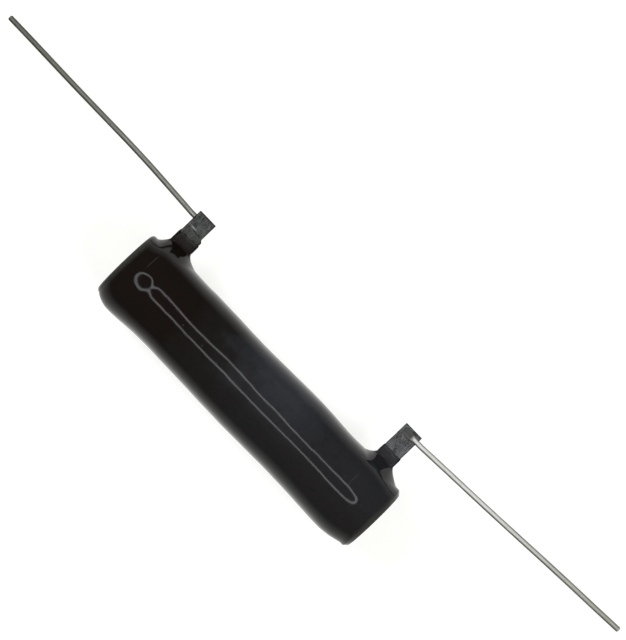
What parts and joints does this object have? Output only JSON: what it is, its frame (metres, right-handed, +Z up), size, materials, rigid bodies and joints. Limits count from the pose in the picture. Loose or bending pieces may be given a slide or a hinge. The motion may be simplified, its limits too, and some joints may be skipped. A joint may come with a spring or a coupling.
{
  "type": "axial resistor",
  "caption": "Tubular wirewound power resistor: a glossy dark enamelled ceramic tube with an open bore, a metal tab near each end and a wire lead welded across each tab.",
  "frame": {"origin": "the middle of the tube's bore, on its axis", "axes": "+X along the tube towards the right-hand tab, whose wire lies on top; +Y from the tube's axis towards the tips of both tabs; +Z up, away from the floor that the part lies on"},
  "size_m": [0.1242, 0.0212, 0.013],
  "materials": {
    "tube_ceramic": "matte",
    "resistance_wire": "satin",
    "terminal_strip": "satin",
    "tinned_wire": "satin",
    "dark_enamel": "gloss"
  },
  "bodies": {
    "root": {"core_tube": "tube_ceramic", "resistance_winding": "resistance_wire", "left_terminal": "terminal_strip", "right_terminal": "terminal_strip", "left_lead": "tinned_wire", "right_lead": "tinned_wire", "enamel_coat": "dark_enamel"}
  },
  "joints": []
}
